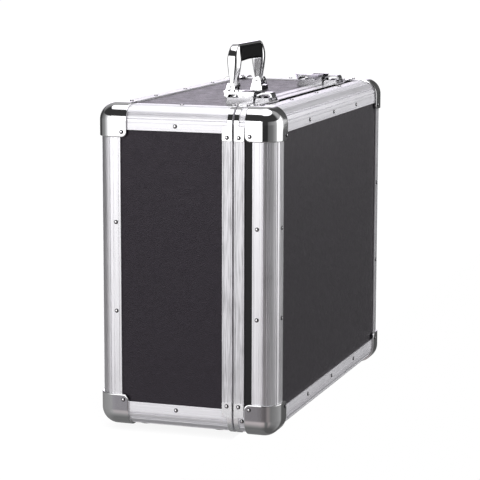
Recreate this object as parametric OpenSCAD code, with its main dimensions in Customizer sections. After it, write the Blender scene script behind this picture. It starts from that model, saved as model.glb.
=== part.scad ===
// Aluminium-framed tool case standing on its hinge side, handle up.
// X is the length, Y the thickness (lid face at -Y), Z the height.

/* [Case] */
// length of the case over the rails
case_l = 406; // [300:1:520]
// height of the case over the rails, without feet
case_h = 330; // [240:1:420]
// thickness of the case over the rails
case_d = 190; // [140:1:240]
// height of the lid rim above the lid face
lid_depth = 44; // [30:1:70]
// gap between the two rims when shut
rim_gap = 1.6; // [1:0.1:3]
// thickness of the covered boards
panel_t = 5; // [3:0.5:8]
// thickness of the soft lining
lining_t = 2; // [1:0.5:4]

/* [Rails] */
// width of each flat leg of an edge rail
leg = 25; // [20:1:32]
// outer radius of an edge rail
rail_r = 16; // [10:0.5:18]
// wall thickness of an edge rail
rail_t = 1.5; // [1:0.1:2.5]
// width of the rim strips beside the gap
rim_w = 11; // [8:0.5:14]

/* [Caps] */
// reach of a corner cap along each edge
cap_l = 32.4; // [28:0.2:40]
// how far a cap stands proud of the rails
cap_t = 2; // [1:0.1:3]
// corner rounding of the cap's flat lobes
lobe_r = 5.4; // [4:0.2:8]
// thickness of the rim brackets
bracket_t = 1; // [0.6:0.1:1.5]

/* [Rivets] */
// radius of a rivet head
rivet_r = 2.2; // [1.5:0.1:3]
// height of a rivet head
rivet_h = 1.2; // [0.8:0.1:2]
// distance of the rail rivets from the outer face
rivet_in = 19.7; // [18:0.1:22]

/* [Handle] */
// place of the handle across the thickness
hand_y = 4; // [-10:1:20]
// half length of the handle
hand_l = 49.6; // [40:0.1:70]
// height of the handle above the rails
hand_h = 53.2; // [40:0.1:70]
// width of the handle bow where it is widest
hand_w = 14; // [8:0.1:16]
// height of the pivot above the rails
hand_p = 8.6; // [6:0.1:10]

/* [Latches] */
// distance of each latch from the middle
latch_x = 123.5; // [100:0.5:145]
// width of a latch
latch_w = 28; // [24:1:34]

/* [Hinges] */
// distance of each hinge from the middle
hinge_x = 110; // [60:1:150]
// length of a hinge
hinge_l = 50; // [30:1:80]
// radius of the hinge knuckles
knuckle_r = 2.5; // [2:0.1:3]

/* [Feet] */
// height of the feet below the rails
foot_h = 7; // [6:0.5:12]
// radius of a foot
foot_r = 9; // [7:0.5:12]

/* [Hidden] */
$fn = 64;
hx = case_l / 2;
hy = case_d / 2;
zb = foot_h;
zt = foot_h + case_h;
lid_y = -hy + lid_depth;
base_y = lid_y + rim_gap;
in_a = rail_t + panel_t;
in_b = in_a + 1.2;
edge_in = rail_r + 0.2;
leg_in = leg + 0.05;
axis_y = (lid_y + base_y) / 2;
axis_z = zb - 2.75;
lp_y = base_y + 3.1;
lp_z = zt + 4.2;
lq_y = lp_y + 8.4;
lq_z = zt + 5.2;

// ---------- placing ----------

// local u,v,w run inward from a box corner along x,y,z
module along_z(sx, sy) {
  translate([sx * hx, sy * hy, zb])
    mirror([sx > 0 ? 1 : 0, 0, 0]) mirror([0, sy > 0 ? 1 : 0, 0]) children();
}

// u runs along y, v along z, w along x from the -X end
module along_x(sy, sz) {
  translate([-hx, sy * hy, sz > 0 ? zt : zb])
    mirror([0, sy > 0 ? 1 : 0, 0]) mirror([0, 0, sz > 0 ? 1 : 0])
      rotate([90, 0, 90]) children();
}

// u runs along z, v along x, w along y inward from the face sy
module along_y(sx, sy, sz) {
  translate([sx * hx, sy * hy, sz > 0 ? zt : zb])
    mirror([sx > 0 ? 1 : 0, 0, 0]) mirror([0, sy > 0 ? 1 : 0, 0]) mirror([0, 0, sz > 0 ? 1 : 0])
      rotate([90, 0, 90]) rotate([90, 0, 90]) children();
}

// x,y,z run inward from a box corner
module at_corner(sx, sy, sz) {
  translate([sx * hx, sy * hy, sz > 0 ? zt : zb])
    mirror([sx > 0 ? 1 : 0, 0, 0]) mirror([0, sy > 0 ? 1 : 0, 0]) mirror([0, 0, sz > 0 ? 1 : 0])
      children();
}

// ---------- edge rails ----------

// square with its origin corner rounded
module round_square(a, r) {
  intersection() {
    union() {
      translate([r, r]) circle(r);
      translate([r, 0]) square([a - r, a]);
      translate([0, r]) square([r, a - r]);
    }
    square(a);
  }
}

// outer skin with the two stops that hold the boards
module rail_skin() {
  difference() {
    round_square(leg, rail_r);
    translate([rail_t, rail_t]) round_square(leg, rail_r - rail_t);
  }
  translate([rail_r - 1.2, rail_t - 0.2]) square([1.2, panel_t + 0.4]);
  translate([rail_t - 0.2, rail_r - 1.2]) square([panel_t + 0.4, 1.2]);
}

module rail_inner() {
  translate([in_a, in_a]) square([leg - 3 - in_a, 1.2]);
  translate([in_a, in_a]) square([1.2, leg - 3 - in_a]);
}

// removes what lies below the two mitre planes of a corner
module mitre_cut() {
  rotate([90, 0, 0]) translate([0, 0, -40]) linear_extrude(80) polygon([[0, 0], [40, 40], [40, -1], [-1, -1]]);
  translate([-40, 0, 0]) rotate([90, 0, 90]) linear_extrude(80) polygon([[0, 0], [40, 40], [40, -1], [-1, -1]]);
}

// rail mitred at both ends
module rail(len) {
  difference() {
    union() {
      translate([0, 0, rail_r]) linear_extrude(len - 2 * rail_r) rail_skin();
      linear_extrude(len) rail_inner();
    }
    mitre_cut();
    translate([0, 0, len]) mirror([0, 0, 1]) mitre_cut();
  }
}

// rail mitred at w = 0 and square at the rim
module rail_open(len) {
  difference() {
    union() {
      translate([0, 0, rail_r]) linear_extrude(len - rail_r) rail_skin();
      linear_extrude(len) rail_inner();
    }
    mitre_cut();
  }
}

module lid_rail_top() { color("silver") along_x(-1, 1) rail(case_l); }
module lid_rail_bottom() { color("silver") along_x(-1, -1) rail(case_l); }
module lid_rail_left() { color("silver") along_z(-1, -1) rail(case_h); }
module lid_rail_right() { color("silver") along_z(1, -1) rail(case_h); }
module base_rail_top() { color("silver") along_x(1, 1) rail(case_l); }
module base_rail_bottom() { color("silver") along_x(1, -1) rail(case_l); }
module base_rail_left() { color("silver") along_z(-1, 1) rail(case_h); }
module base_rail_right() { color("silver") along_z(1, 1) rail(case_h); }

module lid_rails_short() {
  color("silver") for (sx = [-1, 1]) for (sz = [-1, 1])
    along_y(sx, -1, sz) rail_open(lid_y + hy);
}

module base_rails_deep() {
  color("silver") for (sx = [-1, 1]) for (sz = [-1, 1])
    along_y(sx, 1, sz) rail_open(hy - base_y);
}

// ---------- boards ----------

module lid_panel_face() {
  color("dimgray") translate([-hx + edge_in, -hy + rail_t, zb + edge_in])
    cube([case_l - 2 * edge_in, panel_t, case_h - 2 * edge_in]);
}

module base_panel_back() {
  color("dimgray") translate([-hx + edge_in, hy - rail_t - panel_t, zb + edge_in])
    cube([case_l - 2 * edge_in, panel_t, case_h - 2 * edge_in]);
}

// boards of the lid stop short of the rim to leave room for the tongue
module lid_side(z0) {
  color("dimgray") translate([-hx + edge_in, -hy + edge_in, z0])
    cube([case_l - 2 * edge_in, lid_y - 4 + hy - edge_in, panel_t]);
}

module lid_end(x0) {
  color("dimgray") translate([x0, -hy + edge_in, zb + edge_in])
    cube([panel_t, lid_y - 4 + hy - edge_in, case_h - 2 * edge_in]);
}

module base_side(z0) {
  color("dimgray") translate([-hx + edge_in, base_y + 1.7, z0])
    cube([case_l - 2 * edge_in, hy - edge_in - base_y - 1.7, panel_t]);
}

module base_end(x0) {
  color("dimgray") translate([x0, base_y + 1.7, zb + edge_in])
    cube([panel_t, hy - edge_in - base_y - 1.7, case_h - 2 * edge_in]);
}

module lid_panel_top() { lid_side(zt - in_a); }
module lid_panel_bottom() { lid_side(zb + rail_t); }
module lid_panel_left() { lid_end(-hx + rail_t); }
module lid_panel_right() { lid_end(hx - in_a); }
module base_panel_top() { base_side(zt - in_a); }
module base_panel_bottom() { base_side(zb + rail_t); }
module base_panel_left() { base_end(-hx + rail_t); }
module base_panel_right() { base_end(hx - in_a); }

// ---------- rim strips ----------

// channel: a is depth below the outer face, b runs inward from the rim
module rim_channel(groove) {
  difference() {
    union() {
      square([rail_t, rim_w]);
      square([in_b, groove ? 4 : 1.5]);
      translate([in_a, 0]) square([1.2, rim_w + 1]);
    }
    if (groove) translate([2.2, -1]) square([2.8, 3.9]);
  }
}

module rim_tongue() { translate([2.6, -4]) square([2, 4.5]); }

// strip of length len with its section in the x (depth), y (from rim) plane
module rim_strip(len, groove, tongue) {
  translate([0, 0, leg_in]) linear_extrude(len - 2 * leg_in) rim_channel(groove);
  if (tongue) translate([0, 0, leg_in + 5]) linear_extrude(len - 2 * leg_in - 10) rim_tongue();
}

// top or bottom strip, d is +1 for the base and -1 for the lid
module rim_x(sz, d, y0, groove, tongue) {
  translate([-hx, y0, sz > 0 ? zt : zb]) mirror([0, d > 0 ? 0 : 1, 0]) mirror([0, 0, sz > 0 ? 1 : 0])
    rotate([0, 90, 0]) mirror([1, 0, 0]) rim_strip(case_l, groove, tongue);
}

module rim_z(sx, d, y0, groove, tongue) {
  translate([sx * hx, y0, zb]) mirror([sx > 0 ? 1 : 0, 0, 0]) mirror([0, d > 0 ? 0 : 1, 0])
    rim_strip(case_h, groove, tongue);
}

module lid_rim_top() { color("gainsboro") rim_x(1, -1, lid_y, true, false); }
module lid_rim_bottom() { color("gainsboro") rim_x(-1, -1, lid_y, false, false); }
module lid_rim_left() { color("gainsboro") rim_z(-1, -1, lid_y, true, false); }
module lid_rim_right() { color("gainsboro") rim_z(1, -1, lid_y, true, false); }
module base_rim_top() { color("gainsboro") rim_x(1, 1, base_y, false, true); }
module base_rim_bottom() { color("gainsboro") rim_x(-1, 1, base_y, false, false); }
module base_rim_left() { color("gainsboro") rim_z(-1, 1, base_y, false, true); }
module base_rim_right() { color("gainsboro") rim_z(1, 1, base_y, false, true); }

// ---------- corner caps and rim brackets ----------

// rounded block filling a box corner, grown outward by o and cut at s
module round_block(o, s) {
  translate([rail_r, rail_r, rail_r]) sphere(rail_r + o);
  translate([rail_r, rail_r, rail_r]) cylinder(h = s - rail_r, r = rail_r + o);
  translate([rail_r, rail_r, rail_r]) rotate([0, 90, 0]) cylinder(h = s - rail_r, r = rail_r + o);
  translate([rail_r, rail_r, rail_r]) rotate([-90, 0, 0]) cylinder(h = s - rail_r, r = rail_r + o);
  translate([rail_r, rail_r, -o]) cube([s - rail_r, s - rail_r, s + o]);
  translate([rail_r, -o, rail_r]) cube([s - rail_r, s + o, s - rail_r]);
  translate([-o, rail_r, rail_r]) cube([s + o, s - rail_r, s - rail_r]);
}

// square corner minus its rounding, for one flat of the cap
module lobe_cut() {
  translate([cap_l - lobe_r, cap_l - lobe_r, -cap_t - 1]) difference() {
    cube([lobe_r + 1, lobe_r + 1, cap_t + 1.5]);
    translate([0, 0, -1]) cylinder(h = cap_t + 4, r = lobe_r);
  }
}

module corner_cap() {
  difference() {
    round_block(cap_t, cap_l);
    round_block(0, cap_l + 2);
    lobe_cut();
    rotate([90, 0, 90]) lobe_cut();
    rotate([90, 0, 90]) rotate([90, 0, 90]) lobe_cut();
  }
}

module lid_corner_caps() {
  color("white") for (sx = [-1, 1]) for (sz = [-1, 1]) at_corner(sx, -1, sz) corner_cap();
}

module base_corner_caps() {
  color("white") for (sx = [-1, 1]) for (sz = [-1, 1]) at_corner(sx, 1, sz) corner_cap();
}

// thin strap over the rounded edge, wide on the flats and narrow on the bend
module rim_bracket() {
  linear_extrude(5) difference() {
    intersection() {
      translate([-bracket_t, -bracket_t]) round_square(cap_l + bracket_t, rail_r + bracket_t);
      translate([-5, -5]) square([cap_l + 5, cap_l + 5]);
    }
    round_square(cap_l + 5, rail_r);
  }
  translate([rail_r + 1, -bracket_t, 0]) cube([cap_l - rail_r - 1, bracket_t, rim_w - 0.4]);
  translate([-bracket_t, rail_r + 1, 0]) cube([bracket_t, cap_l - rail_r - 1, rim_w - 0.4]);
}

// the strap starts 0.2 mm from the rim
module rim_brackets(d, y0) {
  for (sx = [-1, 1]) for (sz = [-1, 1])
    translate([sx * hx, y0 + d * 0.2, sz > 0 ? zt : zb])
      mirror([sx > 0 ? 1 : 0, 0, 0]) mirror([0, d > 0 ? 0 : 1, 0]) mirror([0, 0, sz > 0 ? 1 : 0])
        rotate([90, 0, 90]) rotate([90, 0, 90]) rim_bracket();
}

module lid_rim_brackets() { color("white") rim_brackets(-1, lid_y); }
module base_rim_brackets() { color("white") rim_brackets(1, base_y); }

// ---------- rivets ----------

// domed head standing on z = 0
module rivet() {
  rs = (rivet_r * rivet_r + rivet_h * rivet_h) / (2 * rivet_h);
  intersection() {
    translate([0, 0, rivet_h - rs]) sphere(rs);
    cylinder(h = rivet_h, r = rivet_r);
  }
}

module rivet_x(s, x, y, z) { translate([x, y, z]) rotate([0, s * 90, 0]) rivet(); }
module rivet_y(s, x, y, z) { translate([x, y, z]) rotate([-s * 90, 0, 0]) rivet(); }
module rivet_z(s, x, y, z) { translate([x, y, z]) rotate([s > 0 ? 0 : 180, 0, 0]) rivet(); }

rx = 89.5;
rz = 45.8;

// rivets shared by the lid (s = -1) and the base (s = 1)
module face_rivets(s) {
  zm = (zb + zt) / 2;
  for (sz = [-1, 1]) for (k = [-1, 0, 1]) {
    rivet_y(s, k * rx, s * hy, sz > 0 ? zt - rivet_in : zb + rivet_in);
    rivet_z(sz, k * rx, s * (hy - rivet_in), sz > 0 ? zt : zb);
  }
  for (sx = [-1, 1]) for (k = [-1, 1]) {
    rivet_y(s, sx * (hx - rivet_in), s * hy, zm + k * rz);
    rivet_x(sx, sx * hx, s * (hy - rivet_in), zm + k * rz);
  }
  ci = cap_l - lobe_r;
  for (sx = [-1, 1]) for (sz = [-1, 1]) {
    rivet_y(s, sx * (hx - ci), s * (hy + cap_t), sz > 0 ? zt - ci : zb + ci);
    rivet_x(sx, sx * (hx + cap_t), s * (hy - ci), sz > 0 ? zt - ci : zb + ci);
    rivet_z(sz, sx * (hx - ci), s * (hy - ci), sz > 0 ? zt + cap_t : zb - cap_t);
  }
}

// rivets of the rim brackets
module bracket_rivets(d, y0) {
  c = cap_l - 3.6;
  for (sx = [-1, 1]) for (sz = [-1, 1]) {
    rivet_x(sx, sx * (hx + bracket_t), y0 + d * 5.4, sz > 0 ? zt - c : zb + c);
    rivet_z(sz, sx * (hx - c), y0 + d * 5.4, sz > 0 ? zt + bracket_t : zb - bracket_t);
  }
}

// seated just past the start of the rounding, between the cap and the strap
module short_rail_rivet() {
  translate([rail_r, lid_y + hy - 8.8, rail_r]) rotate([0, -96, 0]) translate([0, 0, rail_r]) rivet();
}

module lid_rivets() {
  color("white") {
    face_rivets(-1);
    bracket_rivets(-1, lid_y);
    for (sx = [-1, 1]) at_corner(sx, -1, -1) short_rail_rivet();
    for (sx = [-1, 1]) for (k = [-1, 1]) rivet_z(-1, sx * hinge_x + k * 17, axis_y - 17, zb - 1.2);
    for (sx = [-1, 1]) for (k = [-1, 1]) rivet_z(1, sx * latch_x + k * 9.8, lid_y - 6.6, zt + 1.5);
  }
}

module base_rivets() {
  color("white") {
    face_rivets(1);
    bracket_rivets(1, base_y);
    for (sx = [-1, 1]) for (sz = [-1, 1]) {
      rivet_x(sx, sx * hx, 11, sz > 0 ? zt - rivet_in : zb + rivet_in);
      rivet_z(sz, sx * (hx - rivet_in), 11, sz > 0 ? zt : zb);
    }
    for (sx = [-1, 1]) for (k = [-1, 1]) rivet_z(-1, sx * hinge_x + k * 17, axis_y + 17, zb - 1.2);
    for (sx = [-1, 1]) for (k = [-1, 1]) rivet_z(1, sx * latch_x + k * 7, -26, zt + 1.5);
    for (sx = [-1, 1]) for (x = [38.2, 49.8]) rivet_z(1, sx * x, hand_y, zt - rail_t + 1.2);
  }
}

// ---------- linings ----------

// five-sided soft tray, open at y = y1 when d is -1, at y = y0 when d is +1
module lining(y0, y1, open_low) {
  i = in_b + 0.1;
  difference() {
    translate([-hx + i, y0, zb + i]) cube([case_l - 2 * i, y1 - y0, case_h - 2 * i]);
    translate([-hx + i + lining_t, open_low ? y0 - 1 : y0 + lining_t, zb + i + lining_t])
      cube([case_l - 2 * (i + lining_t), y1 - y0 - lining_t + 1, case_h - 2 * (i + lining_t)]);
  }
}

module lid_lining() { color("#262628") lining(-hy + in_b + 0.1, lid_y - 0.5, false); }
module base_lining() { color("#262628") lining(base_y + 0.5, hy - in_b - 0.1, true); }

// ---------- feet ----------

foot_x = 158;
foot_y1 = 60;
foot_y2 = -22;

module feet() {
  color("#1d1d1d") for (sx = [-1, 1]) for (y = [foot_y1, foot_y2]) translate([sx * foot_x, y, 0])
    difference() {
      cylinder(h = foot_h + rail_t, r1 = foot_r - 1.2, r2 = foot_r);
      translate([0, 0, -1]) cylinder(h = 5, r = 4);
    }
}

module foot_screws() {
  color("silver") for (sx = [-1, 1]) for (y = [foot_y1, foot_y2]) translate([sx * foot_x, y, 2])
    difference() {
      cylinder(h = 2, r = 3.5);
      translate([-3, -0.4, -1]) cube([6, 0.8, 1.8]);
      translate([-0.4, -3, -1]) cube([0.8, 6, 1.8]);
    }
}

// ---------- hinges ----------

k_mid = 8.7;
leaf_w = 22.4;
k_gap = 0.3;

// round barrel from x0 to x1 with a bore for the pin
module barrel(x0, x1) {
  translate([x0, axis_y, axis_z]) rotate([0, 90, 0]) difference() {
    cylinder(h = x1 - x0, r = knuckle_r);
    translate([0, 0, -1]) cylinder(h = x1 - x0 + 2, r = 1.25);
  }
}

// removes the bore from a leaf
module pin_bore() {
  translate([-hinge_l, axis_y, axis_z]) rotate([0, 90, 0]) cylinder(h = 2 * hinge_l, r = 1.25);
}

module base_leaf() {
  h2 = hinge_l / 2;
  difference() {
    union() {
      barrel(-h2, -k_mid - k_gap);
      barrel(k_mid + k_gap, h2);
      translate([-h2, axis_y + 3.2, zb - 1.2]) cube([hinge_l, leaf_w - 3.2, 1.2]);
      translate([-h2, axis_y + 1, zb - 1.2]) cube([h2 - k_mid - k_gap, 2.4, 1.2]);
      translate([k_mid + k_gap, axis_y + 1, zb - 1.2]) cube([h2 - k_mid - k_gap, 2.4, 1.2]);
      translate([-h2, base_y + rim_w + 0.3, zb - 0.2]) cube([hinge_l, axis_y + leaf_w - base_y - rim_w - 0.3, rail_t + 0.2]);
    }
    pin_bore();
  }
}

module lid_leaf() {
  h2 = hinge_l / 2;
  difference() {
    union() {
      barrel(-k_mid, k_mid);
      translate([-h2, axis_y - leaf_w, zb - 1.2]) cube([hinge_l, leaf_w - 3.2, 1.2]);
      translate([-k_mid, axis_y - 3.4, zb - 1.2]) cube([2 * k_mid, 2.4, 1.2]);
    }
    pin_bore();
  }
}

module base_hinge_leaves() { color("white") for (sx = [-1, 1]) translate([sx * hinge_x, 0, 0]) base_leaf(); }
module lid_hinge_leaves() { color("white") for (sx = [-1, 1]) translate([sx * hinge_x, 0, 0]) lid_leaf(); }
module hinge_pins() {
  color("gray") for (sx = [-1, 1]) translate([sx * hinge_x - hinge_l / 2, axis_y, axis_z])
    rotate([0, 90, 0]) cylinder(h = hinge_l, r = 1.2);
}

// ---------- latches ----------

// one side wall of the latch base with its ear, in y (from the lever pin) and z
module base_wall() {
  circle(2.8);
  translate([0, -3.2]) square([20, 3.8]);
  translate([-2.8, -3.2]) square([5.6, 3.2]);
  polygon([[19, -3.2], [26.2, -3.2], [24.8, 0.6], [19, 0.6]]);
}

// channel on the base with two ears for the lever pin
module latch_base() {
  w2 = latch_w / 2;
  difference() {
    union() {
      translate([-w2, base_y + 0.3, zt]) cube([latch_w, 29.1, 1.5]);
      translate([-w2, base_y + rim_w + 0.3, zt - rail_t]) cube([latch_w, 29.1 - rim_w, rail_t + 0.2]);
      for (s = [-1, 1]) translate([s > 0 ? w2 - 1.3 : -w2, lp_y, lp_z]) rotate([90, 0, 90]) linear_extrude(1.3) base_wall();
    }
    translate([-20, lp_y, lp_z]) rotate([0, 90, 0]) cylinder(h = 40, r = 1.45);
  }
}

module latch_bases() { color("white") for (sx = [-1, 1]) translate([sx * latch_x, 0, 0]) latch_base(); }

module latch_pivot_pins() {
  color("gray") for (sx = [-1, 1]) translate([sx * latch_x - latch_w / 2, lp_y, lp_z])
    rotate([0, 90, 0]) cylinder(h = latch_w, r = 1.4);
}

// one side wall of the catch in y (from the lid rim) and z
module catch_wall() {
  polygon([[-0.3, 1], [-0.3, 2.6], [-0.7, 3.8], [-1.6, 4.7], [-2.9, 5], [-13.2, 5], [-14.2, 4.5], [-16, 1.2], [-16, 1]]);
}

// channel on the lid with the bar that the claw pulls on
module latch_catches() {
  w2 = latch_w / 2;
  color("white") for (sx = [-1, 1]) translate([sx * latch_x, lid_y, zt]) {
    translate([-w2, -16.6, 0]) cube([latch_w, 16.3, 1.5]);
    for (s = [-1, 1]) translate([s > 0 ? w2 - 1.3 : -w2, 0, 0]) rotate([90, 0, 90]) linear_extrude(1.3) catch_wall();
    translate([-w2 + 1, -13.6, 1]) cube([latch_w - 2, 1.4, 4]);
  }
}

// side section of the lever in y (from the lever pin) and z
module lever_side() {
  difference() {
    union() {
      circle(2.4);
      polygon([[0, -2.2], [10, -1.6], [12.4, -1.2], [14.8, 3.7], [24, 3.7], [25.5, 0.3], [26.9, 0.3],
        [30, 7], [26, 6.4], [-3, 6.4], [-2.35, 0.2]]);
    }
    circle(1.45);
    translate([lq_y - lp_y, lq_z - lp_z]) circle(1.4);
  }
}

// top plate that flares up to a lip, with a skirt under the lip
module lever_top() {
  polygon([[13, 5], [26.2, 5], [27.8, 5.2], [25.5, 0.3], [26.9, 0.3], [30, 7], [29.4, 7.3], [26, 6.4], [13, 6.4]]);
}

module latch_lever(s) {
  w = latch_w / 2 - 1.6;
  color("white") translate([s * latch_x, lp_y, lp_z]) rotate([90, 0, 90]) {
    for (t = [-1, 1]) {
      translate([0, 0, t > 0 ? w - 1.5 : -w]) linear_extrude(1.5) lever_side();
      translate([-3, 5, t > 0 ? 8.2 : -w]) cube([16.5, 1.4, w - 8.2]);
    }
    translate([0, 0, -w]) linear_extrude(2 * w) lever_top();
  }
}

module latch_lever_left() { latch_lever(-1); }
module latch_lever_right() { latch_lever(1); }

module latch_link_pin(s) {
  w = latch_w / 2 - 1.6;
  color("gray") translate([s * latch_x - w, lq_y, lq_z]) rotate([0, 90, 0]) cylinder(h = 2 * w, r = 1.4);
}

module latch_link_pin_left() { latch_link_pin(-1); }
module latch_link_pin_right() { latch_link_pin(1); }

// claw section in y and z, measured from the link pin
module claw_side() {
  difference() {
    union() {
      circle(2.4);
      polygon([[0, 1.1], [-13, 1.1], [-18.6, 3.3], [-25.2, 3.5], [-26.7, 2.4], [-27.4, 0.8], [-27.6, -2.1],
        [-29, -2.1], [-29, 1.2], [-28.2, 3.4], [-26.6, 4.7], [-24.6, 5], [-18.2, 4.7], [-12.6, 2.4], [0, 2.4]]);
    }
    circle(1.45);
  }
}

module latch_claw(s) {
  color("white") translate([s * latch_x, lq_y, lq_z]) rotate([90, 0, 90])
    translate([0, 0, -7]) linear_extrude(14) claw_side();
}

module latch_claw_left() { latch_claw(-1); }
module latch_claw_right() { latch_claw(1); }

// ---------- handle ----------

// ears of a mount seen along y, leaning towards the leg between them
module ear_lean() {
  polygon([[32.6, -rail_t], [34, -rail_t], [35.6, 12.2], [34.2, 12.2]]);
  polygon([[55.4, -rail_t], [54, -rail_t], [52.4, 12.2], [53.8, 12.2]]);
}

// an ear seen along x
module ear_face() {
  polygon([[-6.7, -rail_t], [6.7, -rail_t], [4, 10.4], [3.5, 11.5], [2.5, 12.2],
    [-2.5, 12.2], [-3.5, 11.5], [-4, 10.4]]);
}

// floor with two low side walls and two tall ears bored for the pin
module handle_mount() {
  translate([0, hand_y, zt]) difference() {
    union() {
      translate([33.4, -6.7, -rail_t]) cube([21.2, 13.4, 1.2]);
      for (k = [-6.7, 5.3]) translate([33.4, k, -rail_t]) cube([21.2, 1.4, 3.9]);
      intersection() {
        translate([0, 10, 0]) rotate([90, 0, 0]) linear_extrude(20) ear_lean();
        translate([30, 0, 0]) rotate([90, 0, 90]) linear_extrude(30) ear_face();
      }
    }
    translate([20, 0, hand_p]) rotate([0, 90, 0]) cylinder(h = 40, r = 1.55);
  }
}

module handle_mounts() {
  color("white") { handle_mount(); mirror([1, 0, 0]) handle_mount(); }
}

module handle_pins() {
  color("gray") for (s = [0, 1]) mirror([s, 0, 0])
    translate([33.2, hand_y, zt + hand_p]) rotate([0, 90, 0]) cylinder(h = 21.6, r = 1.5);
}

// bow seen along y
module bow_front() {
  r = 16;
  difference() {
    union() {
      translate([-hand_l, hand_p - 4]) square([2 * hand_l, hand_h - r - hand_p + 4]);
      translate([-hand_l + r, hand_h - r - 1]) square([2 * (hand_l - r), r + 1]);
      for (s = [-1, 1]) translate([s * (hand_l - r), hand_h - r]) circle(r);
    }
    polygon([[-38.4, 0], [-38.4, 15], [-36.4, 22], [-36.4, hand_h - 3], [36.4, hand_h - 3], [36.4, 22],
      [38.4, 15], [38.4, 0]]);
  }
}

// bow seen along x, widest below the corners
module bow_side() {
  w = hand_w / 2;
  translate([0, hand_p]) circle(3.8);
  polygon([[-3.8, hand_p], [-3.8, 14.5], [-w + 1.7, 22], [-w + 0.7, 28.5], [-w, 36], [-w + 0.7, 43], [-w + 1.9, 49],
    [-w + 2.5, hand_h + 1], [w - 2.5, hand_h + 1], [w - 1.9, 49], [w - 0.7, 43], [w, 36], [w - 0.7, 28.5],
    [w - 1.7, 22], [3.8, 14.5], [3.8, hand_p]]);
}

// bow seen from above, narrowing towards its outer faces
module bow_top() {
  w = hand_w / 2;
  polygon([[-50, -w + 1.5], [-47.6, -w + 0.6], [-36.4, -w], [36.4, -w], [47.6, -w + 0.6], [50, -w + 1.5], [50, w - 1.5],
    [47.6, w - 0.6], [36.4, w], [-36.4, w], [-47.6, w - 0.6], [-50, w - 1.5]]);
}

module handle_bow() {
  color("white") translate([0, hand_y, zt]) difference() {
    union() {
      intersection() {
        translate([0, 8, 0]) rotate([90, 0, 0]) linear_extrude(16) bow_front();
        translate([-60, 0, 0]) rotate([90, 0, 90]) linear_extrude(120) bow_side();
        linear_extrude(60) bow_top();
      }
      for (x = [-52, 36]) translate([x, 0, hand_p]) rotate([0, 90, 0]) cylinder(h = 16, r = 3.4);
    }
    translate([-60, 0, hand_p]) rotate([0, 90, 0]) cylinder(h = 120, r = 1.55);
  }
}

// grip held under the bow, its underside slightly arched
module handle_grip() {
  color("#141414") translate([0, hand_y + 6.6, zt]) rotate([90, 0, 0]) linear_extrude(13.2)
    polygon([[-36.3, 33.6], [-24, 34.2], [-12, 34.7], [0, 34.9], [12, 34.7], [24, 34.2], [36.3, 33.6],
      [36.3, hand_h - 3.1], [-36.3, hand_h - 3.1]]);
}

lid_panel_face();
lid_panel_top();
lid_panel_bottom();
lid_panel_left();
lid_panel_right();
base_panel_back();
base_panel_top();
base_panel_bottom();
base_panel_left();
base_panel_right();
lid_rail_top();
lid_rail_bottom();
lid_rail_left();
lid_rail_right();
lid_rails_short();
base_rail_top();
base_rail_bottom();
base_rail_left();
base_rail_right();
base_rails_deep();
lid_rim_top();
lid_rim_bottom();
lid_rim_left();
lid_rim_right();
base_rim_top();
base_rim_bottom();
base_rim_left();
base_rim_right();
lid_corner_caps();
base_corner_caps();
lid_rim_brackets();
base_rim_brackets();
lid_rivets();
base_rivets();
lid_lining();
base_lining();
feet();
foot_screws();
base_hinge_leaves();
lid_hinge_leaves();
hinge_pins();
latch_bases();
latch_pivot_pins();
latch_catches();
latch_lever_left();
latch_lever_right();
latch_link_pin_left();
latch_link_pin_right();
latch_claw_left();
latch_claw_right();
handle_mounts();
handle_pins();
handle_bow();
handle_grip();
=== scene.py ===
import math

import bmesh
import bpy
from mathutils import Matrix, Vector
from mathutils.geometry import tessellate_polygon


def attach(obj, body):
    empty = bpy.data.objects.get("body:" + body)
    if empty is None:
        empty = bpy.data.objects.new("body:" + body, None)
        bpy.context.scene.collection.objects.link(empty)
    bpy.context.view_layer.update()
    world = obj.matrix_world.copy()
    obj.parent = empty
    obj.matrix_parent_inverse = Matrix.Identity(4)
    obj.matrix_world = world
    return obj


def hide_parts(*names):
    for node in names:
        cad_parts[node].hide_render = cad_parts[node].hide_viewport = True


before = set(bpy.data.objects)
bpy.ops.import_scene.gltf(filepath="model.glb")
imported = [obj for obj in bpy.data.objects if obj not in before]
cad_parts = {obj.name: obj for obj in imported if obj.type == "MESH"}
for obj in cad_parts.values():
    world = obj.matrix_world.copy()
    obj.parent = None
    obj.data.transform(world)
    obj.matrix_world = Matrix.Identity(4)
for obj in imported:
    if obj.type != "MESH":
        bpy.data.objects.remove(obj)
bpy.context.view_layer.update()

# ---------------------------------------------------------------- measures, mm
HX, HY = 203.0, 95.0
ZB, ZT = 7.0, 337.0
LID_Y, BASE_Y = -51.0, -49.4
R, T, LEG = 16.0, 1.5, 25.0
IN_A, IN_B = 6.5, 7.7
CAP_L, CAP_T, LOBE = 32.4, 2.0, 5.4
RIM_W = 11.0
LEG_IN = 25.05
RIV_R, RIV_H, RIV_IN = 2.2, 1.2, 19.7
HINGE_X, LATCH_X, HAND_Y = 110.0, 123.5, 4.0
AXIS_Y = -50.2
MM = 0.001


# ---------------------------------------------------------------- materials
def new_mat(name):
    m = bpy.data.materials.new(name)
    m.use_nodes = True
    nt = m.node_tree
    b = nt.nodes["Principled BSDF"]
    return m, nt, b


def node(nt, kind, **inputs):
    n = nt.nodes.new(kind)
    for k, v in inputs.items():
        n.inputs[k.replace("_", " ")].default_value = v
    return n


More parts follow.
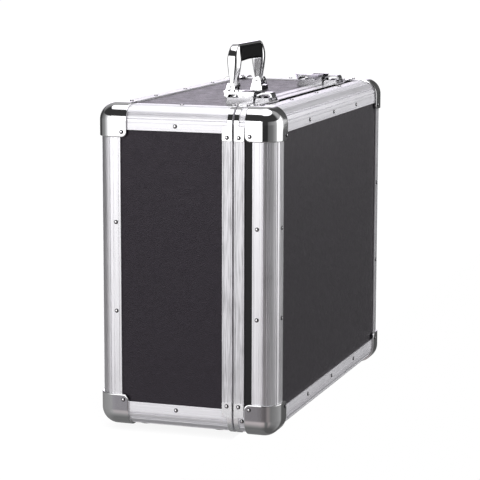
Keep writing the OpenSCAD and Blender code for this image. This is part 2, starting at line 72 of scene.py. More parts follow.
def ramp(nt, fac, stops, interpolation="LINEAR"):
    n = nt.nodes.new("ShaderNodeValToRGB")
    n.color_ramp.interpolation = interpolation
    el = n.color_ramp.elements
    el[0].position, el[1].position = stops[0][0], stops[-1][0]
    for p, c in stops[1:-1]:
        el.new(p)
    for e, (p, c) in zip(sorted(el, key=lambda k: k.position), stops):
        e.color = (c, c, c, 1) if isinstance(c, (int, float)) else (*c, 1)
    nt.links.new(fac, n.inputs["Fac"])
    return n


def coords(nt, scale):
    tc = nt.nodes.new("ShaderNodeTexCoord")
    mp = nt.nodes.new("ShaderNodeMapping")
    mp.inputs["Scale"].default_value = scale
    nt.links.new(tc.outputs["Object"], mp.inputs["Vector"])
    return mp.outputs["Vector"]


def map_range(nt, value, a, b, c, d):
    n = nt.nodes.new("ShaderNodeMapRange")
    n.inputs["From Min"].default_value = a
    n.inputs["From Max"].default_value = b
    n.inputs["To Min"].default_value = c
    n.inputs["To Max"].default_value = d
    nt.links.new(value, n.inputs["Value"])
    return n.outputs["Result"]


def bump(nt, b, height, strength, distance):
    n = nt.nodes.new("ShaderNodeBump")
    n.inputs["Strength"].default_value = strength
    n.inputs["Distance"].default_value = distance
    nt.links.new(height, n.inputs["Height"])
    nt.links.new(n.outputs["Normal"], b.inputs["Normal"])
    return n


def aluminium(name, axis, base=(0.90, 0.90, 0.915), rough=(0.27, 0.36), streak=1.0, metal=0.93, low=0.93, run=9.0):
    """Drawn and anodised metal: fine streaks run along the given axis."""
    m, nt, b = new_mat(name)
    s = [900.0, 900.0, 900.0]
    s["xyz".index(axis)] = run
    v = coords(nt, s)
    n1 = nt.nodes.new("ShaderNodeTexNoise")
    n1.inputs["Scale"].default_value = 1.0
    n1.inputs["Detail"].default_value = 3.0
    nt.links.new(v, n1.inputs["Vector"])
    v2 = coords(nt, (40, 40, 40))
    n2 = nt.nodes.new("ShaderNodeTexNoise")
    n2.inputs["Scale"].default_value = 1.0
    n2.inputs["Detail"].default_value = 4.0
    nt.links.new(v2, n2.inputs["Vector"])
    add = nt.nodes.new("ShaderNodeMath")
    add.operation = "MULTIPLY_ADD"
    add.inputs[1].default_value = 0.35
    nt.links.new(n2.outputs["Fac"], add.inputs[0])
    nt.links.new(n1.outputs["Fac"], add.inputs[2])
    rg = map_range(nt, add.outputs[0], 0.4, 0.95, rough[0], rough[1])
    nt.links.new(rg, b.inputs["Roughness"])
    lo = tuple(c * low for c in base)
    cr = ramp(nt, add.outputs[0], [(0.5, lo), (0.8, base)])
    nt.links.new(cr.outputs["Color"], b.inputs["Base Color"])
    b.inputs["Metallic"].default_value = metal
    bump(nt, b, n1.outputs["Fac"], 0.12 * streak, 0.0002)
    return m


def chrome(name, base=(0.90, 0.90, 0.91), rough=(0.035, 0.10), metal=1.0):
    """Plated metal with a faint haze of handling marks."""
    m, nt, b = new_mat(name)
    v = coords(nt, (70, 70, 70))
    n1 = nt.nodes.new("ShaderNodeTexNoise")
    n1.inputs["Scale"].default_value = 1.0
    n1.inputs["Detail"].default_value = 5.0
    nt.links.new(v, n1.inputs["Vector"])
    rg = map_range(nt, n1.outputs["Fac"], 0.35, 0.75, rough[0], rough[1])
    nt.links.new(rg, b.inputs["Roughness"])
    lo = tuple(c * 0.95 for c in base)
    cr = ramp(nt, n1.outputs["Fac"], [(0.35, base), (0.75, lo)])
    nt.links.new(cr.outputs["Color"], b.inputs["Base Color"])
    b.inputs["Metallic"].default_value = metal
    bump(nt, b, n1.outputs["Fac"], 0.03, 0.0004)
    return m


def pebbled(name, base=(0.0128, 0.0106, 0.0148), scale=1150.0, rough=0.38):
    """Black laminate with a fine pebble grain."""
    m, nt, b = new_mat(name)
    v = coords(nt, (scale, scale, scale))
    vo = nt.nodes.new("ShaderNodeTexVoronoi")
    vo.feature = "SMOOTH_F1"
    vo.inputs["Scale"].default_value = 1.0
    vo.inputs["Smoothness"].default_value = 0.5
    nt.links.new(v, vo.inputs["Vector"])
    v2 = coords(nt, (260, 260, 260))
    n2 = nt.nodes.new("ShaderNodeTexNoise")
    n2.inputs["Scale"].default_value = 1.0
    n2.inputs["Detail"].default_value = 4.0
    nt.links.new(v2, n2.inputs["Vector"])
    mx = nt.nodes.new("ShaderNodeMath")
    mx.operation = "MULTIPLY_ADD"
    mx.inputs[1].default_value = 0.6
    nt.links.new(n2.outputs["Fac"], mx.inputs[0])
    nt.links.new(vo.outputs["Distance"], mx.inputs[2])
    bump(nt, b, mx.outputs[0], 0.55, 0.00035)
    v3 = coords(nt, (75, 75, 75))
    n3 = nt.nodes.new("ShaderNodeTexNoise")
    n3.inputs["Scale"].default_value = 1.0
    n3.inputs["Detail"].default_value = 5.0
    n3.inputs["Roughness"].default_value = 0.62
    nt.links.new(v3, n3.inputs["Vector"])
    lo = tuple(c * 0.7 for c in base)
    hi = tuple(c * 1.35 for c in base)
    tone = nt.nodes.new("ShaderNodeMath")
    tone.operation = "MULTIPLY_ADD"
    tone.inputs[1].default_value = -0.8
    nt.links.new(n3.outputs["Fac"], tone.inputs[0])
    nt.links.new(mx.outputs[0], tone.inputs[2])
    cr = ramp(nt, tone.outputs[0], [(-0.05, hi), (0.55, lo)])
    nt.links.new(cr.outputs["Color"], b.inputs["Base Color"])
    patch = nt.nodes.new("ShaderNodeMath")
    patch.operation = "MULTIPLY_ADD"
    patch.inputs[1].default_value = 0.5
    nt.links.new(n2.outputs["Fac"], patch.inputs[0])
    nt.links.new(n3.outputs["Fac"], patch.inputs[2])
    rg = map_range(nt, patch.outputs[0], 0.5, 1.0, rough - 0.07, rough + 0.09)
    nt.links.new(rg, b.inputs["Roughness"])
    b.inputs["Specular Tint"].default_value = (0.98, 0.89, 1.0, 1)
    return m


def soft(name, base, scale, rough, strength=0.4, distance=0.0004, sheen=0.0):
    """Moulded rubber, plastic or short pile, by its grain size."""
    m, nt, b = new_mat(name)
    v = coords(nt, (scale, scale, scale))
    n1 = nt.nodes.new("ShaderNodeTexNoise")
    n1.inputs["Scale"].default_value = 1.0
    n1.inputs["Detail"].default_value = 6.0
    nt.links.new(v, n1.inputs["Vector"])
    bump(nt, b, n1.outputs["Fac"], strength, distance)
    lo = tuple(c * 0.75 for c in base)
    hi = tuple(c * 1.2 for c in base)
    cr = ramp(nt, n1.outputs["Fac"], [(0.35, lo), (0.7, hi)])
    nt.links.new(cr.outputs["Color"], b.inputs["Base Color"])
    rg = map_range(nt, n1.outputs["Fac"], 0.3, 0.7, rough - 0.06, rough + 0.06)
    nt.links.new(rg, b.inputs["Roughness"])
    if sheen:
        b.inputs["Sheen Weight"].default_value = sheen
    return m


ALU_X = aluminium("rail_metal_x", "x", base=(0.92, 0.912, 0.945), rough=(0.36, 0.46), metal=0.74)
ALU_Y = aluminium("rail_metal_y", "y", base=(0.95, 0.943, 0.972), rough=(0.36, 0.46), metal=0.68)
ALU_Z = aluminium("rail_metal_z", "z", base=(0.93, 0.922, 0.95), streak=1.6, low=0.84, run=14.0)
RIM_X = aluminium("rim_metal_x", "x", base=(0.83, 0.825, 0.85), rough=(0.28, 0.40), streak=3.0, metal=0.86, low=0.6, run=38.0)
RIM_Z = aluminium("rim_metal_z", "z", base=(0.83, 0.825, 0.85), rough=(0.28, 0.40), streak=3.0, metal=0.86, low=0.6, run=38.0)
CHROME = chrome("chrome")
CHROME_SOFT = chrome("chrome_brushed", rough=(0.10, 0.20))
RIVET = chrome("rivet_steel", base=(0.80, 0.79, 0.81), rough=(0.04, 0.10))
# Painted shade: a dark copy of the rivet steel, put on the feet of the heads to stand in for the dark reflections and
# shade round them.
RIVET_FOOT_SHADE = chrome("rivet_foot_painted_shade", base=(0.10, 0.097, 0.104), rough=(0.12, 0.22))
STEEL = chrome("pin_steel", base=(0.62, 0.62, 0.63), rough=(0.22, 0.34))
BOARD = pebbled("board", rough=0.38)
BOARD.node_tree.nodes["Principled BSDF"].inputs["Specular IOR Level"].default_value = 0.43
# Painted shade: the two board materials below are darker copies of the same laminate. They stand in for the shade on
# the lid's recessed strips and in the narrow gaps beside its rims.
BOARD_SIDE_SHADED = soft("board_narrow_painted_shade", (0.011, 0.0105, 0.0118), 900, 0.45, 0.4)
BOARD_SIDE_SHADED.node_tree.nodes["Principled BSDF"].inputs["Specular IOR Level"].default_value = 0.3
BOARD_SHADE = soft("board_gap_painted_shade", (0.006, 0.006, 0.0063), 900, 0.75, 0.3)
BOARD_SHADE.node_tree.nodes["Principled BSDF"].inputs["Specular IOR Level"].default_value = 0.08
LINING = soft("lining", (0.028, 0.028, 0.031), 1500, 0.85, 0.6, 0.0005, sheen=0.3)
RUBBER = soft("foot_rubber", (0.022, 0.022, 0.023), 500, 0.62)
GRIP = soft("grip_plastic", (0.0055, 0.0053, 0.0058), 700, 0.38, 0.25, 0.0003)
GRIP.node_tree.nodes["Principled BSDF"].inputs["Specular IOR Level"].default_value = 0.03
# Painted shade: a dark copy of the latch plating for the inner and under sides of latch parts and for the handle
# mounts' inner faces.
LATCH_INSIDE_SHADE = chrome("latch_inside_painted_shade", base=(0.17, 0.17, 0.18), rough=(0.16, 0.26))
LATCH = chrome("latch_plate", base=(0.72, 0.715, 0.735), rough=(0.07, 0.14))
LATCH_SATIN = chrome("latch_satin", base=(0.66, 0.655, 0.675), rough=(0.16, 0.25), metal=0.84)
# Painted light: a lighter, duller copy of the bracket chrome, used on the lower brackets only. The real brackets are
# alike.
BRACKET_LOWER_LIT = chrome("bracket_lower_painted_light", base=(0.96, 0.96, 0.97), rough=(0.18, 0.27), metal=0.76)


# ---------------------------------------------------------------- mesh helpers
def finish_mesh(name, verts, faces, mat, body, nodes=(), angle=32, merge=True, bevel=0.0, seg=2):
    me = bpy.data.meshes.new(name)
    me.from_pydata([(x * MM, y * MM, z * MM) for x, y, z in verts], [], faces)
    bm = bmesh.new()
    bm.from_mesh(me)
    if merge:
        bmesh.ops.remove_doubles(bm, verts=bm.verts, dist=2e-6)
    bmesh.ops.dissolve_degenerate(bm, dist=1e-7, edges=bm.edges)
    bmesh.ops.recalc_face_normals(bm, faces=bm.faces)
    bm.to_mesh(me)
    bm.free()
    me.shade_smooth()
    me.set_sharp_from_angle(angle=math.radians(angle))
    ob = bpy.data.objects.new(name, me)
    bpy.context.scene.collection.objects.link(ob)
    me.materials.append(mat)
    if bevel:
        add_bevel(ob, bevel, seg)
    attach(ob, body)
    if nodes:
        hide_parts(*nodes)
    return ob


def add_bevel(ob, width, seg=2, angle=38):
    m = ob.modifiers.new("edge", "BEVEL")
    m.width = width * MM
    m.segments = seg
    m.limit_method = "ANGLE"
    m.angle_limit = math.radians(angle)
    m.harden_normals = False
    m.use_clamp_overlap = True


class Build:
    """Collects vertices and faces of one piece."""

    def __init__(self):
        self.v, self.f = [], []

    def add(self, verts, faces):
        o = len(self.v)
        self.v += [tuple(p) for p in verts]
        self.f += [tuple(i + o for i in f) for f in faces]

    def loft(self, profile, place, w0, w1):
        """Closed section swept from w0(u,v) to w1(u,v); place maps u,v,w to x,y,z."""
        n = len(profile)
        a = [place(u, v, w0(u, v)) for u, v in profile]
        b = [place(u, v, w1(u, v)) for u, v in profile]
        faces = [(i, (i + 1) % n, n + (i + 1) % n, n + i) for i in range(n)]
        tris = tessellate_polygon([[Vector((u, v, 0)) for u, v in profile]])
        faces += [tuple(t) for t in tris]
        faces += [tuple(i + n for i in reversed(t)) for t in tris]
        self.add(a + b, faces)


def zc(sz):
    return ZT if sz > 0 else ZB


def on_z(sx, sy):
    return lambda u, v, w: (sx * (HX - u), sy * (HY - v), ZB + w)


def on_x(sy, sz):
    return lambda u, v, w: (-HX + w, sy * (HY - u), zc(sz) - sz * v)


def on_y(sx, sy, sz):
    return lambda u, v, w: (sx * (HX - v), sy * (HY - w), zc(sz) - sz * u)


# ---------------------------------------------------------------- edge rails
GROOVES = (9.0, 25.0, 32.0, 58.0, 65.0, 81.0)


def arc_points():
    out = []
    marks = {round(a, 2): R for a in [i * 3.0 for i in range(31)]}
    for g in GROOVES:
        for a in list(marks):
            if abs(a - g) < 2.8:
                del marks[a]
        marks[round(g - 2.4, 2)] = R
        marks[round(g - 0.4, 2)] = R - 0.85
        marks[round(g + 0.4, 2)] = R - 0.85
        marks[round(g + 2.4, 2)] = R
    for a in sorted(marks):
        r, t = marks[a], math.radians(a)
        out.append((R - r * math.sin(t), R - r * math.cos(t)))
    return out


def rail_section():
    """Outer skin with fine grooves, the stops for the boards and the inner angle."""
    flat = [(LEG, T - 0.3), (LEG, 0.35), (LEG - 0.35, 0.0), (23.2, 0.0), (23.0, 0.22), (22.6, 0.22), (22.4, 0.0), (17.6, 0.0), (17.4, 0.3), (17.0, 0.3), (16.8, 0.0)]
    arc = arc_points()
    back = [(v, u) for u, v in reversed(flat)]
    inner = [(T, LEG), (T, R), (IN_A, R), (IN_A, LEG - 3), (IN_B, LEG - 3), (IN_B, IN_B), (LEG - 3, IN_B), (LEG - 3, IN_A), (R, IN_A), (R, T), (LEG, T)]
    return flat + arc + back + inner


def start_w(u, v):
    near = min(u, v) < 2.2 or (u - R) ** 2 + (v - R) ** 2 > (R - 0.8) ** 2 and max(u, v) <= R + 0.01
    return max(u, v, R) if near else max(u, v)


SECTION = rail_section()


def rail(name, node, place, length, mat, body, open_end=False):
    b = Build()
    b.loft(SECTION, place, start_w, (lambda u, v: length) if open_end else (lambda u, v: length - start_w(u, v)))
    return finish_mesh(name, b.v, b.f, mat, body, (node,), angle=20)


L2, H2 = 2 * HX, ZT - ZB
rail("lid_edge_top", "lid_rail_top", on_x(-1, 1), L2, ALU_X, "lid")
rail("lid_edge_bottom", "lid_rail_bottom", on_x(-1, -1), L2, ALU_X, "lid")
rail("lid_edge_left", "lid_rail_left", on_z(-1, -1), H2, ALU_Z, "lid")
rail("lid_edge_right", "lid_rail_right", on_z(1, -1), H2, ALU_Z, "lid")
rail("base_edge_top", "base_rail_top", on_x(1, 1), L2, ALU_X, "base")
rail("base_edge_bottom", "base_rail_bottom", on_x(1, -1), L2, ALU_X, "base")
rail("base_edge_left", "base_rail_left", on_z(-1, 1), H2, ALU_Z, "base")
rail("base_edge_right", "base_rail_right", on_z(1, 1), H2, ALU_Z, "base")
for body, sy, length in (("lid", -1, LID_Y + HY), ("base", 1, HY - BASE_Y)):
    b = Build()
    for sx in (-1, 1):
        for sz in (-1, 1):
            b.loft(SECTION, on_y(sx, sy, sz), start_w, lambda u, v: length)
    finish_mesh(body + "_edges_short", b.v, b.f, ALU_Y, body, ("lid_rails_short" if body == "lid" else "base_rails_deep",), angle=20)


# ---------------------------------------------------------------- rim strips
def rim_section(groove):
    """Channel: depth below the outer face, distance from the rim."""
    face = [(0.3, 0.0), (0.0, 0.3), (0.0, 1.5), (0.2, 1.7), (0.2, 2.0), (0.0, 2.2), (0.0, RIM_W - 2.2), (0.2, RIM_W - 2.0), (0.2, RIM_W - 1.7), (0.0, RIM_W - 1.5), (0.0, RIM_W - 0.3), (0.3, RIM_W), (T, RIM_W)]
    if groove:
        return face + [(T, 4.0), (IN_A, 4.0), (IN_A, RIM_W + 1), (IN_B, RIM_W + 1), (IN_B, 0.0), (5.0, 0.0), (5.0, 2.9), (2.2, 2.9), (2.2, 0.0)]
    return face + [(T, 1.5), (IN_A, 1.5), (IN_A, RIM_W + 1), (IN_B, RIM_W + 1), (IN_B, 0.0)]


TONGUE = [(2.6, 0.4), (2.6, -3.6), (2.9, -4.0), (4.3, -4.0), (4.6, -3.6), (4.6, 0.4)]


def rim(name, node, body, side, s, groove, tongue):
    d, y0 = (-1, LID_Y) if body == "lid" else (1, BASE_Y)
    if side == "x":
        place = lambda u, v, w: (-HX + w, y0 + d * v, zc(s) - s * u)
        length = L2
    else:
        place = lambda u, v, w: (s * (HX - u), y0 + d * v, ZB + w)
        length = H2
    b = Build()
    b.loft(rim_section(groove), place, lambda u, v: LEG_IN, lambda u, v: length - LEG_IN)
    if tongue:
        b.loft(TONGUE, place, lambda u, v: LEG_IN + 5, lambda u, v: length - LEG_IN - 5)
    ob = finish_mesh(name, b.v, b.f, RIM_X if side == "x" else RIM_Z, body, (node,), angle=20, merge=False)
    # Painted shade: the rim's wall that faces the board strip gets a dark board material, standing in for the shade in
    # the narrow gap beside it.
    ob.data.materials.append(BOARD_SHADE if side == "x" else BOARD_SIDE_SHADED)
    for f in ob.data.polygons:
        if abs(f.normal.y) > 0.9 and abs(f.center.y / MM - (y0 + d * RIM_W)) < 0.5:
            f.material_index = 1
    return ob


rim("lid_strip_top", "lid_rim_top", "lid", "x", 1, True, False)
rim("lid_strip_bottom", "lid_rim_bottom", "lid", "x", -1, False, False)
rim("lid_strip_left", "lid_rim_left", "lid", "z", -1, True, False)
rim("lid_strip_right", "lid_rim_right", "lid", "z", 1, True, False)
rim("base_strip_top", "base_rim_top", "base", "x", 1, False, True)
rim("base_strip_bottom", "base_rim_bottom", "base", "x", -1, False, False)
rim("base_strip_left", "base_rim_left", "base", "z", -1, False, True)
rim("base_strip_right", "base_rim_right", "base", "z", 1, False, True)


# ---------------------------------------------------------------- corner caps
def cap_grid():
    """Outer and inner skins of a three-way pressed cap, in corner coordinates."""
    turn = [R - R * math.tan(math.radians(a)) for a in (45, 40, 35, 30, 25, 20, 15, 10, 5, 0)]
    flat = [R + (27.0 - R) * k / 4 for k in (1, 2, 3, 4)]
    lobe = [27.0 + LOBE * k for k in (0.2, 0.4, 0.6, 0.76, 0.853, 0.90, 0.94, 0.975, 1.0)]
    vals = turn + flat + lobe
    n = len(vals)

    def warp(a, b):
        if a > 27 and b > 27:
            x, y = (a - 27) / LOBE, (b - 27) / LOBE
            return 27 + LOBE * x * math.sqrt(1 - y * y / 2), 27 + LOBE * y * math.sqrt(1 - x * x / 2)
        return a, b

    def lift(i, j):
        """Height above the rails: full inside, rolling down at the free edge."""
        e = max(vals[i], vals[j])
        if vals[i] > 27 and vals[j] > 27:
            a, b = warp(vals[i], vals[j])
            e = 27 + math.hypot(a - 27, b - 27)
        k = max(0.0, (e - (CAP_L - 0.8)) / 0.8)
        return CAP_T - 0.7 * (1 - math.sqrt(max(0.0, 1 - k * k)))

    def point(i, j, o):
        a, b = warp(vals[i], vals[j])
        q = Vector((max(a, R), max(b, R), R))
        d = Vector((a, b, 0.0)) - q
        d.normalize()
        return q + d * (R + o)

    verts, faces = [], []
    for face in range(3):
        base = len(verts)
        for o in ("out", "in"):
            for i in range(n):
                for j in range(n):
                    p = point(i, j, lift(i, j) if o == "out" else 0.03)
                    p = (p.x, p.y, p.z)
                    verts.append(p if face == 0 else (p[2], p[0], p[1]) if face == 1 else (p[1], p[2], p[0]))
        idx = lambda k, i, j: base + k * n * n + i * n + j
        for i in range(n - 1):
            for j in range(n - 1):
                faces.append((idx(0, i, j), idx(0, i + 1, j), idx(0, i + 1, j + 1), idx(0, i, j + 1)))
                faces.append((idx(1, i, j), idx(1, i, j + 1), idx(1, i + 1, j + 1), idx(1, i + 1, j)))
        for i in range(n - 1):
            faces.append((idx(0, n - 1, i), idx(0, n - 1, i + 1), idx(1, n - 1, i + 1), idx(1, n - 1, i)))
            faces.append((idx(0, i, n - 1), idx(1, i, n - 1), idx(1, i + 1, n - 1), idx(0, i + 1, n - 1)))
    return verts, faces


CAP_V, CAP_F = cap_grid()
for body, sy in (("lid", -1), ("base", 1)):
    b = Build()
    for sx in (-1, 1):
        for sz in (-1, 1):
            b.add([(sx * (HX - x), sy * (HY - y), zc(sz) - sz * z) for x, y, z in CAP_V], CAP_F)
    finish_mesh(body + "_caps", b.v, b.f, CHROME, body, (body + "_corner_caps",), angle=40)


# ---------------------------------------------------------------- rim brackets
def bracket():
    """Strap over the rounded edge: stations along the section, each with its width."""
    st = []
    for u in (CAP_L, CAP_L - 0.4, CAP_L - 1.2, 26.0, 19.5, 18.6, 17.9, 17.3):
        w = RIM_W - 0.4 if u > 18.5 else 5.0 + (RIM_W - 5.4) * max(0.0, (u - 17.3) / 1.3)
        c = {CAP_L: 1.1, CAP_L - 0.4: 0.45, CAP_L - 1.2: 0.0}.get(u, 0.0)
        st.append(((u, -1.0), (u, 0.02), c, w - c))
    for k in range(13):
        t = math.radians(90 * k / 12)
        st.append(((R - (R + 1) * math.sin(t), R - (R + 1) * math.cos(t)), (R - R * math.sin(t) * 0.999, R - R * math.cos(t) * 0.999), 0.0, 5.0))
    st += [((v0[1], v0[0]), (v1[1], v1[0]), a, w) for v0, v1, a, w in reversed(st[:8])]
    verts, faces = [], []
    for (o, i, a, w) in st:
        verts += [(o[0], o[1], a), (o[0], o[1], w), (i[0], i[1], w), (i[0], i[1], a)]
    for k in range(len(st) - 1):
        for j in range(4):
            faces.append((4 * k + j, 4 * k + (j + 1) % 4, 4 * k + 4 + (j + 1) % 4, 4 * k + 4 + j))
    faces += [(0, 1, 2, 3), tuple(4 * len(st) - 4 + j for j in (3, 2, 1, 0))]
    return verts, faces


BR_V, BR_F = bracket()
for body, d, y0 in (("lid", -1, LID_Y), ("base", 1, BASE_Y)):
    b = Build()
    for sx in (-1, 1):
        for sz in (-1, 1):
            b.add([(sx * (HX - v), y0 + d * (0.2 + w), zc(sz) - sz * u) for u, v, w in BR_V], BR_F)
    ob = finish_mesh(body + "_brackets", b.v, b.f, CHROME, body, (body + "_rim_brackets",), angle=35, bevel=0.22, seg=2)
    # Painted light: faces below mid-height get the lighter, duller copy of the chrome.
    ob.data.materials.append(BRACKET_LOWER_LIT)
    for f in ob.data.polygons:
        f.material_index = int(f.center.z / MM < (ZB + ZT) / 2)


# ---------------------------------------------------------------- rivets
def rivet_mesh(n=20):
    prof = [(RIV_R, 0.0), (RIV_R, 0.12), (RIV_R * 0.965, 0.36), (RIV_R * 0.875, 0.64), (RIV_R * 0.73, 0.88), (RIV_R * 0.54, 1.05), (RIV_R * 0.33, 1.15), (RIV_R * 0.14, 1.19)]
    v, f = [], []
    for r, z in prof:
        v += [(r * math.cos(2 * math.pi * k / n), r * math.sin(2 * math.pi * k / n), z) for k in range(n)]
    for i in range(len(prof) - 1):
        for k in range(n):
            f.append((i * n + k, i * n + (k + 1) % n, (i + 1) * n + (k + 1) % n, (i + 1) * n + k))
    f.append(tuple(range(n))[::-1])
    top = len(v)
    v.append((0, 0, RIV_H))
    o = (len(prof) - 1) * n
    f += [(o + k, o + (k + 1) % n, top) for k in range(n)]
    return v, f


RV, RF = rivet_mesh()


def paint_foot_shade(ob, n=20):
    """Painted shade: the foot of each head is painted dark, two rings deep on heads on top and five on the others; the
    crown stays bright.
    """
    ob.data.materials.append(RIVET_FOOT_SHADE)
    for i, f in enumerate(ob.data.polygons):
        if i % len(RF) < (2 if f.center.z / MM > ZT - 5 else 5) * n:
            f.material_index = 1


def rivet(b, axis, s, x, y, z):
    if axis == "x":
        b.add([(x + s * c, y + a, z + e) for a, e, c in RV], RF)
    elif axis == "y":
        b.add([(x + a, y + s * c, z + e) for a, e, c in RV], RF)
    else:
        b.add([(x + a, y + e, z + s * c) for a, e, c in RV], RF)


def face_rivets(b, s):
    zm = (ZB + ZT) / 2
    for sz in (-1, 1):
        for k in (-1, 0, 1):
            rivet(b, "y", s, k * 89.5, s * HY, zc(sz) - sz * RIV_IN)
            rivet(b, "z", sz, k * 89.5, s * (HY - RIV_IN), zc(sz))
    for sx in (-1, 1):
        for k in (-1, 1):
            rivet(b, "y", s, sx * (HX - RIV_IN), s * HY, zm + k * 45.8)
            rivet(b, "x", sx, sx * HX, s * (HY - RIV_IN), zm + k * 45.8)
    ci = CAP_L - LOBE
    for sx in (-1, 1):
        for sz in (-1, 1):
            rivet(b, "y", s, sx * (HX - ci), s * (HY + CAP_T), zc(sz) - sz * ci)
            rivet(b, "x", sx, sx * (HX + CAP_T), s * (HY - ci), zc(sz) - sz * ci)
            rivet(b, "z", sz, sx * (HX - ci), s * (HY - ci), zc(sz) + sz * CAP_T)


def bracket_rivets(b, d, y0):
    c = CAP_L - 3.6
    for sx in (-1, 1):
        for sz in (-1, 1):
            rivet(b, "x", sx, sx * (HX + 1.0), y0 + d * 5.4, zc(sz) - sz * c)
            rivet(b, "z", sz, sx * (HX - c), y0 + d * 5.4, zc(sz) + sz * 1.0)


b = Build()
face_rivets(b, -1)
bracket_rivets(b, -1, LID_Y)
for sx in (-1, 1):
    a = math.radians(6)
    ca, sa = math.cos(a), math.sin(a)
    b.add([(sx * (HX - R + (R + c) * ca - e * sa), LID_Y - 8.8 + q, ZB + R - (R + c) * sa - e * ca) for q, e, c in RV], RF)
    for k in (-1, 1):
        rivet(b, "z", -1, sx * HINGE_X + k * 17, AXIS_Y - 17, ZB - 1.2)
        rivet(b, "z", 1, sx * LATCH_X + k * 9.8, LID_Y - 6.6, ZT + 1.5)
paint_foot_shade(finish_mesh("lid_rivet_heads", b.v, b.f, RIVET, "lid", ("lid_rivets",), angle=50, merge=False))

b = Build()
face_rivets(b, 1)
bracket_rivets(b, 1, BASE_Y)
for sx in (-1, 1):
    for sz in (-1, 1):
        rivet(b, "x", sx, sx * HX, 11, zc(sz) - sz * RIV_IN)
        rivet(b, "z", sz, sx * (HX - RIV_IN), 11, zc(sz))
    for k in (-1, 1):
        rivet(b, "z", -1, sx * HINGE_X + k * 17, AXIS_Y + 17, ZB - 1.2)
        rivet(b, "z", 1, sx * LATCH_X + k * 7, -26, ZT + 1.5)
        rivet(b, "z", 1, sx * (44.0 + k * 5.8), HAND_Y, ZT - T + 1.2)
paint_foot_shade(finish_mesh("base_rivet_heads", b.v, b.f, RIVET, "base", ("base_rivets",), angle=50, merge=False))


# ---------------------------------------------------------------- handle
def along(table, w):
    for (a, va), (b_, vb) in zip(table, table[1:]):
        if w <= b_:
            k = max(0.0, (w - a) / (b_ - a))
            return va + (vb - va) * k
    return table[-1][1]


BOW_L, BOW_H, BOW_R, PIVOT = 49.6, 53.2, 16.0, 8.6
BOW_HALF = [(PIVOT, 3.8), (12, 3.82), (15, 4.0), (18, 4.6), (22, 5.35), (26, 6.05), (30, 6.6), (34, 6.95), (38, 6.95), (42, 6.5), (46, 5.8), (50, 5.0), (54, 4.5)]
BOW_IN = [(0, 38.0), (12, 37.8), (34, 36.5), (60, 36.45)]
# share of the thickness from the outer face, share of the half width
BOW_SECTION = [(0.0, 0.0), (0.003, 0.33), (0.012, 0.56), (0.03, 0.67), (0.062, 0.745), (0.115, 0.80), (0.20, 0.845), (0.36, 0.91), (0.54, 0.965), (0.72, 0.995), (0.86, 0.995), (0.93, 0.965), (0.98, 0.90), (1.0, 0.82), (1.0, 0.4), (1.0, 0.0)]


def bow_mesh():
    """Bow swept from one pivot over the grip to the other, its sides sloping out towards the hand."""
    half = []
    for w in (4.95, 5.2, 5.8, 6.6, 7.6, 8.6, 10.2, 12, 14, 16, 18, 20, 22, 24, 26, 28, 30, 32, 34, 35.6):
        h = math.sqrt(max(0.0, 3.8 ** 2 - (w - PIVOT) ** 2)) if w < PIVOT else along(BOW_HALF, w)
        half.append(((BOW_L, w), (along(BOW_IN, w), w), h))
    for k in range(0, 19):
        t = math.radians(5 * k)
        o = (BOW_L - BOW_R + BOW_R * math.cos(t), BOW_H - BOW_R + BOW_R * math.sin(t))
        i = (36.45, BOW_H - BOW_R + 13.0 * min(1.0, k / 11.0)) if k <= 11 else (36.45 - 2.85 * (k - 11) / 7.0, BOW_H - 3.0)
        half.append((o, i, along(BOW_HALF, o[1])))
    for x in (28, 20, 10, 0):
        half.append(((x, BOW_H), (x, BOW_H - 3.0), 4.4))
    st = [(1, s) for s in half] + [(-1, s) for s in reversed(half[:-1])]
    ring_ = [(d, y) for d, y in BOW_SECTION] + [(d, -y) for d, y in reversed(BOW_SECTION[1:-1])]
    n = len(ring_)
    v, f = [], []
    for sx, (o, i, h) in st:
        for d_, y in ring_:
            v.append((sx * (o[0] + (i[0] - o[0]) * d_), HAND_Y + y * h, ZT + o[1] + (i[1] - o[1]) * d_))
    for k in range(len(st) - 1):
        for j in range(n):
            f.append((k * n + j, k * n + (j + 1) % n, (k + 1) * n + (j + 1) % n, (k + 1) * n + j))
    f.append(tuple(range(n)))
    f.append(tuple((len(st) - 1) * n + j for j in reversed(range(n))))
    return v, f


def collar(x0, x1, r1, r0, n=32):
    """Short tube round the pivot pin, its outer edges eased."""
    prof = [(x0, r0), (x0, r1 - 0.4), (x0 + 0.12, r1 - 0.12), (x0 + 0.4, r1), (x1 - 0.4, r1), (x1 - 0.12, r1 - 0.12), (x1, r1 - 0.4), (x1, r0)]
    v, f = [], []
    for x, r in prof:
        v += [(x, HAND_Y + r * math.cos(2 * math.pi * k / n), ZT + PIVOT + r * math.sin(2 * math.pi * k / n)) for k in range(n)]
    m_ = len(prof)
    for i in range(m_):
        for k in range(n):
            j = (i + 1) % m_
            f.append((i * n + k, i * n + (k + 1) % n, j * n + (k + 1) % n, j * n + k))
    return v, f


b = Build()
b.add(*bow_mesh())
for sx in (-1, 1):
    for x0, x1 in ((36.0, 39.0), (49.2, 52.0)):
        b.add(*collar(*sorted((sx * x0, sx * x1)), 3.4, 1.55))
finish_mesh("handle_bow_plated", b.v, b.f, CHROME, "handle", ("handle_bow",), angle=40, merge=False)


